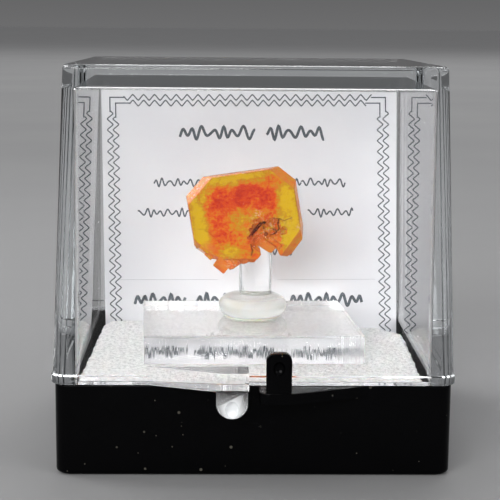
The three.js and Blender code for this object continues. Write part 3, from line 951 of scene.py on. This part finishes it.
def glue_piece():
    """A flat round pad with an uneven edge."""
    low, high = GLUE_LOW.z + 0.01, GLUE_HIGH.z - 0.01
    profile = [
        (0, low), (1.6, low), (2.92, low), (2.96, low + 0.05),
        (2.88, high - 0.04), (2.7, high), (1.4, high), (0, high),
    ]

    def wobble(turn, z):
        return 0.15 * noise.noise(Vector((2.2 * math.cos(turn), 2.2 * math.sin(turn), z * 3)))

    glue = lathe("glue_pad", profile, middle_of(GLUE_LOW, GLUE_HIGH), wobble=wobble)
    finished(glue, "base", cream_glue(), ["stand_glue"], sharp=50)


def post_piece():
    """Foot and rod, melted into one clear post."""
    low, height = FOOT_LOW.z, FOOT_HIGH.z - FOOT_LOW.z
    radius = (FOOT_HIGH.x - FOOT_LOW.x) / 2
    profile = [(share * radius, low + up * height) for share, up in smooth_curve(FOOT_OUTLINE)]
    post = lathe("stand_post", [(0, low), *profile, (0, FOOT_HIGH.z)], middle_of(FOOT_LOW, FOOT_HIGH))
    radius = (ROD_HIGH.x - ROD_LOW.x) / 2
    start, end = low + 0.6, ROD_HIGH.z
    profile = [
        (0, start), (radius, start), (radius, end - 0.12),
        (radius - 0.04, end - 0.03), (radius - 0.14, end), (0, end),
    ]
    combine(post, [lathe("rod", profile, middle_of(ROD_LOW, ROD_HIGH))])
    finished(post, "base", post_acrylic(), ["stand_foot", "stand_rod"], sharp=40)


# ---- Crystal ----

def refined(node, name, voxel):
    """A copy of a solid with an even, fine mesh, in millimetres."""
    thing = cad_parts[node].copy()
    thing.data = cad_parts[node].data.copy()
    thing.name = name
    for key in list(thing.keys()):
        del thing[key]
    thing.parent = None
    bpy.context.scene.collection.objects.link(thing)
    thing.data.transform(Matrix.Scale(1 / MM, 4))
    modifier = thing.modifiers.new("even mesh", "REMESH")
    modifier.mode = "VOXEL"
    modifier.voxel_size = voxel
    return apply_modifiers(thing)


def smoothstep(value, low, high):
    share = np.clip((value - low) / (high - low), 0, 1)
    return share * share * (3 - 2 * share)


def field(points, scale, seed=0.0):
    """Noise from -1 to 1 at each point."""
    shift = Vector((seed, -seed, 2 * seed))
    return np.array([noise.noise(Vector(point) * scale + shift) for point in points])


# The crystal from the front, in millimetres from its middle. The red core inside its straight growth
# lines: the direction each line faces, in degrees, and how far out it is.
PHANTOM = [(189.5, 4.15), (139, 4.35), (98.4, 3.65), (10, 3.45)]
# Soft patches: middle across and up, half width, half height, turn in degrees, and how much redder they
# are than their surroundings (or yellower, below zero).
PATCHES = [
    (-0.1, 2.3, 3.4, 1.05, 5, 0.36),
    (-1.2, 2.0, 1.9, 0.7, 5, 0.12),
    (1.6, 1.7, 1.6, 0.6, 5, 0.08),
    (-0.3, 3.9, 3.4, 0.3, 8, 0.12),
    (-0.9, 1.3, 1.6, 0.45, 6, 0.1),
    (-3.1, 0.9, 0.7, 1.8, 12, 0.12),
    (2.9, 4.1, 1.2, 0.55, -20, 0.3),
    (3.1, 2.9, 0.6, 0.8, 0, 0.12),
    (-0.7, -0.5, 1.0, 1.6, 14, -0.2),
    (-2.2, -0.6, 0.9, 1.6, 0, 0.08),
    (1.0, 0.2, 1.6, 0.5, 8, -0.14),
    (-1.6, -3.6, 1.2, 0.8, 0, -0.46),
    (-3.1, -1.4, 0.8, 1.4, -20, 0.1),
    (-1.3, -2.4, 1.6, 0.5, -20, 0.08),
    (-1.2, 4.15, 3.2, 0.32, 8.4, -0.3),
    (4.2, 1.7, 0.75, 1.6, 14, -0.36),
    (4.7, -2.0, 1.2, 1.5, -10, -0.38),
    (-4.6, -2.1, 0.9, 0.7, -25, -0.3),
    (-5.0, 0.3, 0.45, 2.2, 8, -0.24),
]
# Cracks: their points, half width, depth and darkness.
CRACKS = [
    ([(0.55, -2.05), (0.85, -1.65), (1.25, -1.15), (1.6, -0.8), (2.0, -0.55)], 0.18, 0.5, 1.0),
    ([(2.9, -0.2), (3.15, -0.05), (3.6, -0.1), (4.0, -0.25), (4.4, -0.1), (4.75, 0.0)], 0.05, 0.1, 0.75),
    ([(3.45, -0.15), (3.35, -0.7), (3.5, -1.2), (3.1, -1.75), (2.6, -1.9)], 0.08, 0.2, 0.85),
    ([(0.6, -2.9), (0.75, -3.4), (0.65, -3.9)], 0.07, 0.15, 0.7),
    ([(-5.4, -1.15), (-4.4, -1.2), (-3.7, -1.6), (-2.5, -2.9)], 0.03, 0.04, 0.35),
]
CRUMBLY = (2.35, -1.25, 1.75, 1.25)  # where the front is crumbly: middle across and up, half sizes
# Salmon-pale faces and places with fine white glints: middle across and up, half sizes, turn.
PALE = [(2.0, -2.95, 1.1, 0.6, -32), (-2.4, -4.95, 0.85, 0.7, -38), (-3.6, -3.15, 0.7, 0.35, -30)]
GLINTS = [
    (-1.25, -4.9, 0.75, 0.65, 0),
    (-5.1, 3.1, 1.5, 0.55, 50),
    (1.2, 0.3, 0.6, 0.6, 0),
    (5.7, -0.9, 0.4, 0.5, 0),
]
OUTER_ZONE = 0.15  # colour outside the growth lines, from 0 yellow to 1 red
CORE_STEP = 0.33  # how much redder the core inside them is
BACK = 0.6  # how far behind the middle the front's details reach


def distance_to(line, x, z):
    """How far each point is from a line of straight stretches, seen from the front."""
    spots = np.stack([x, z], axis=1)
    nearest = np.full(len(x), np.inf)
    for start, end in zip(line, line[1:]):
        start, end = np.array(start), np.array(end)
        along = end - start
        share = np.clip((spots - start) @ along / (along @ along), 0, 1)
        nearest = np.minimum(nearest, np.linalg.norm(spots - start - share[:, None] * along, axis=1))
    return nearest


def patch(x, z, middle_x, middle_z, half_x, half_z, turn=0):
    """A soft round patch, 1 in its middle."""
    turn = math.radians(turn)
    across = (x - middle_x) * math.cos(turn) + (z - middle_z) * math.sin(turn)
    upward = (z - middle_z) * math.cos(turn) - (x - middle_x) * math.sin(turn)
    return np.exp(-np.abs(across / half_x) ** 2.6 - np.abs(upward / half_z) ** 2.6)


def crumbs(points, size, seed):
    """Angular lumps: each cell of space has its own height and its own slope."""
    heights = np.empty(len(points))
    for i, point in enumerate(points):
        spot = Vector(point) / size
        _, middles = noise.voronoi(spot)
        slope = noise.noise_vector(middles[0] * 7.3 + Vector((seed, 0, 0)))
        heights[i] = noise.noise(middles[0] * 5.1) + 1.6 * slope.dot(spot - middles[0])
    return heights


def vectors(collection, name):
    """One vector of every item of a mesh's collection, as rows."""
    rows = np.empty(len(collection) * 3)
    collection.foreach_get(name, rows)
    return rows.reshape(-1, 3)


def growth_zone(points, x, z):
    """The colour of each point by the growth lines and the soft patches, from yellow to red."""
    inside = np.min([
        reach - (x * math.cos(math.radians(turn)) + z * math.sin(math.radians(turn)))
        for turn, reach in PHANTOM
    ], axis=0)
    wander = 0.3 * field(points, 0.7, 3.0) + 0.14 * field(points, 2.2, 4.0)
    zone = OUTER_ZONE + CORE_STEP * smoothstep(inside + wander, -0.22, 0.3)
    for *place, change in PATCHES:
        zone += change * patch(x, z, *place)
    return zone


def cracked(points, x, z, front):
    """How dark and how deep the cracks are at each point of the front."""
    dark, depth = np.zeros(len(points)), np.zeros(len(points))
    ragged = 0.5 * field(points, 2.5, 11.0)
    for line, half, deep, darkness in CRACKS:
        away = distance_to(line, x, z) + half * ragged
        dark = np.maximum(dark, darkness * front * smoothstep(away, 1.2 * half, 0.5 * half))
        depth = np.maximum(depth, deep * front * smoothstep(away, 1.6 * half, 0.3 * half))
    return dark, depth


def crumbled(points, crumbly):
    """Large and small lumps where the front is crumbly."""
    lumps = np.zeros(len(points))
    rough = np.flatnonzero(crumbly > 0.05)
    lumps[rough] = crumbs(points[rough], 0.5, 2.0) + 0.6 * crumbs(points[rough], 0.24, 6.0)
    return lumps


def most(start, places, x, z, amount=1.0):
    """The larger at each point of what there is already and the soft patches."""
    for place in places:
        start = np.maximum(start, amount * patch(x, z, *place))
    return start


def crystal_piece():
    crystal = refined("wulfenite_crystal", "wulfenite", CRYSTAL_VOXEL)
    mesh = crystal.data
    points = vectors(mesh.vertices, "co")
    normals = vectors(mesh.vertex_normals, "vector")
    facing = -normals[:, 1]
    x, y, z = (points - np.array(CRYSTAL_MIDDLE)).T / CRYSTAL_SCALE
    front = smoothstep(facing, 0.1, 0.5) * (y < BACK)
    # Bevelled faces, picked by the way they face: below they are made paler and an even orange, a painted
    # sheen.
    bevel = smoothstep(np.abs(facing), 0.93, 0.8)
    # A thin line where the bevels meet the front, painted pale as a highlight along the edges.
    painted_edge_highlight = smoothstep(facing, 0.68, 0.76) * smoothstep(facing, 0.985, 0.94)
    top_edge = smoothstep(z, 3.0, 3.6) * (x < 2.4)
    crumbly = patch(x, z, *CRUMBLY) * (y < BACK)

    zone = growth_zone(points, x, z)
    # Painted sheen: the bevels' colour is evened towards orange.
    zone = zone + (0.5 - zone) * 0.7 * bevel
    dark, depth = cracked(points, x, z, front)
    lumps = crumbled(points, crumbly)
    points += normals * ((0.13 * lumps - 0.1) * crumbly)[:, None]
    # Painted shade: the crumbly front is darkened where its lumps sink, in the crevices between them.
    dark = np.maximum(dark, 0.75 * crumbly * smoothstep(-lumps, 0.35, 0.8))
    zone += 0.5 * crumbly * (lumps > 0.2) * field(points, 1.6, 21.0)
    # Pale on the salmon faces, and as painted sheen on the bevels and a painted highlight along the edges.
    pale = most(np.maximum(0.5 * bevel, 0.85 * painted_edge_highlight * (1 - crumbly)), PALE, x, z, 0.85)
    glints = most(np.maximum(crumbly, (bevel + 0.7 * painted_edge_highlight) * top_edge), GLINTS, x, z)
    for name, values in {"zone": zone, "pale": pale, "glints": glints, "dark": dark}.items():
        attribute = mesh.attributes.new(name, "FLOAT", "POINT")
        attribute.data.foreach_set("value", values.astype(np.float32))
    points[:, 1] += depth
    mesh.vertices.foreach_set("co", points.ravel())
    mesh.update()
    finished(crystal, "base", orange_crystal(), ["wulfenite_crystal"], sharp=0)


# ---- Studio ----

# The camera's place in millimetres, and how far it is turned down, to the right and about its axis.
CAMERA = {
    "place": (-3.32, -147.25, 42.28),
    "down": 8.98,
    "right": 1.25,
    "roll": 0.5,
    "focal": 1419 / 500,  # focal length in image widths
    "sensor": 36.0,
}
FLOOR_SIZE = 40.0  # metres
# Colours of the surround by height, from the horizon to overhead.
SURROUND = [
    (0.0, (0.17, 0.17, 0.172)),
    (0.08, (0.1, 0.1, 0.102)),
    (0.35, (0.3, 0.3, 0.305)),
    (0.9, (0.6, 0.6, 0.61)),
]


def camera():
    data = bpy.data.cameras.new("camera")
    data.sensor_width = CAMERA["sensor"]
    data.lens = CAMERA["focal"] * CAMERA["sensor"]
    data.clip_start = 0.01
    eye = linked("camera", data)
    turn = Matrix.Rotation(-math.radians(CAMERA["right"]), 4, "Z")
    tilt = Matrix.Rotation(math.radians(90 - CAMERA["down"]), 4, "X")
    roll = Matrix.Rotation(math.radians(CAMERA["roll"]), 4, "Z")
    eye.matrix_world = Matrix.Translation(Vector(CAMERA["place"]) * MM) @ turn @ tilt @ roll
    bpy.context.scene.camera = eye


def softbox(name, place, size, watts, target=(0, 0, 18), spread=180):
    """A soft light, wide and high, that faces a target. Places and sizes are millimetres."""
    data = bpy.data.lights.new(name, "AREA")
    data.shape = "RECTANGLE"
    data.size, data.size_y = size[0] * MM, size[1] * MM
    data.energy = watts
    data.spread = math.radians(spread)
    light = linked(name, data)
    light.location = Vector(place) * MM
    light.rotation_euler = (Vector(target) - Vector(place)).to_track_quat("-Z", "Y").to_euler()


def studio():
    bpy.ops.mesh.primitive_plane_add(size=FLOOR_SIZE)
    floor = bpy.context.object
    floor.name = "floor"
    floor.data.materials.append(floor_paper())
    surround()
    softbox("key", (-700, -1730, 760), (1600, 1000), 30.0)
    softbox("fill", (1500, -1100, 800), (1000, 900), 6.0)
    softbox("rim", (-340, 165, 265), (220, 220), 0.15, spread=80)
    softbox("back", (300, 1400, 1300), (1400, 700), 9.0, target=(0, 500, 0))


def surround():
    """A pale grey surround, lighter overhead."""
    world = bpy.data.worlds.new("studio")
    bpy.context.scene.world = world
    world.use_nodes = True
    tree = world.node_tree
    place = tree.nodes.new("ShaderNodeTexCoord")
    split = tree.nodes.new("ShaderNodeSeparateXYZ")
    ramp = tree.nodes.new("ShaderNodeValToRGB")
    tree.links.new(place.outputs["Generated"], split.inputs[0])
    tree.links.new(split.outputs["Z"], ramp.inputs[0])
    tree.links.new(ramp.outputs[0], tree.nodes["Background"].inputs["Color"])
    for _ in SURROUND[2:]:
        ramp.color_ramp.elements.new(0.5)
    for element, (spot, color) in zip(ramp.color_ramp.elements, SURROUND):
        element.position = spot
        element.color = (*color, 1)


def view():
    scene = bpy.context.scene
    scene.view_settings.view_transform = "Standard"
    scene.view_settings.look = "Medium High Contrast"
    scene.view_settings.exposure = -0.15
    cycles = scene.cycles
    cycles.max_bounces = 24
    cycles.transmission_bounces = 20
    cycles.glossy_bounces = 8
    cycles.diffuse_bounces = 4
    cycles.sample_clamp_indirect = 20.0
    cycles.blur_glossy = 0.0


camera()
base_piece()
lid_piece()
foam_piece()
card_piece()
print_piece()
plate_piece()
glue_piece()
post_piece()
crystal_piece()
studio()
view()
